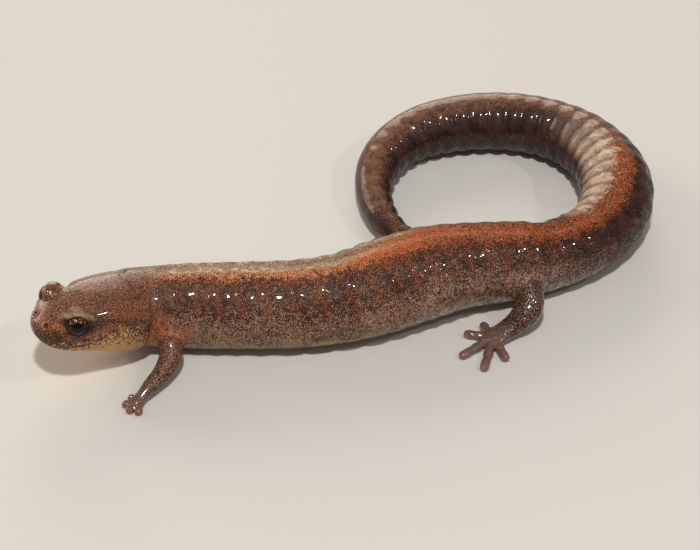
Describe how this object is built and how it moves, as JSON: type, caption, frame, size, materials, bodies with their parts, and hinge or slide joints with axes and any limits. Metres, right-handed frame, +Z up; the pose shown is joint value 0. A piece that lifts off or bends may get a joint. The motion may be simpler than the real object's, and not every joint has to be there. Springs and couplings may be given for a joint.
{
  "type": "eastern red-backed salamander model",
  "caption": "Still life-size model of a red-backed salamander resting on its belly, head raised a little, legs spread and the long tail curled round beside the body.",
  "frame": {"origin": "middle of the footprint, on the floor that the belly, tail and feet rest on", "axes": "+Z up, -X towards the snout's end of the body, -Y towards the animal's left side, which the picture shows"},
  "size_m": [0.047, 0.0352, 0.0072],
  "materials": {
    "skin_head": "moist skin, dark reddish brown with fine pale speckles",
    "skin_body": "moist skin, orange-red stripe along the back over dark brown flanks with pale speckles",
    "skin_limb": "moist skin, dark brown with grey speckles",
    "eye": "wet and glossy, black pupil and dark iris with copper flecks"
  },
  "bodies": {
    "root": {"head": "skin_head", "eye_left": "eye", "eye_right": "eye", "neck": "skin_body", "trunk_front": "skin_body", "trunk_middle": "skin_body", "trunk_rear": "skin_body", "tail_1": "skin_body", "tail_2": "skin_body", "tail_3": "skin_body", "tail_4": "skin_body", "tail_5": "skin_body", "tail_6": "skin_body", "foreleg_left_upper": "skin_limb", "foreleg_left_lower": "skin_limb", "forefoot_left": "skin_limb", "foreleg_right_upper": "skin_limb", "foreleg_right_lower": "skin_limb", "forefoot_right": "skin_limb", "hindleg_left_upper": "skin_limb", "hindleg_left_lower": "skin_limb", "hindfoot_left": "skin_limb", "hindleg_right_upper": "skin_limb", "hindleg_right_lower": "skin_limb", "hindfoot_right": "skin_limb"}
  },
  "joints": []
}
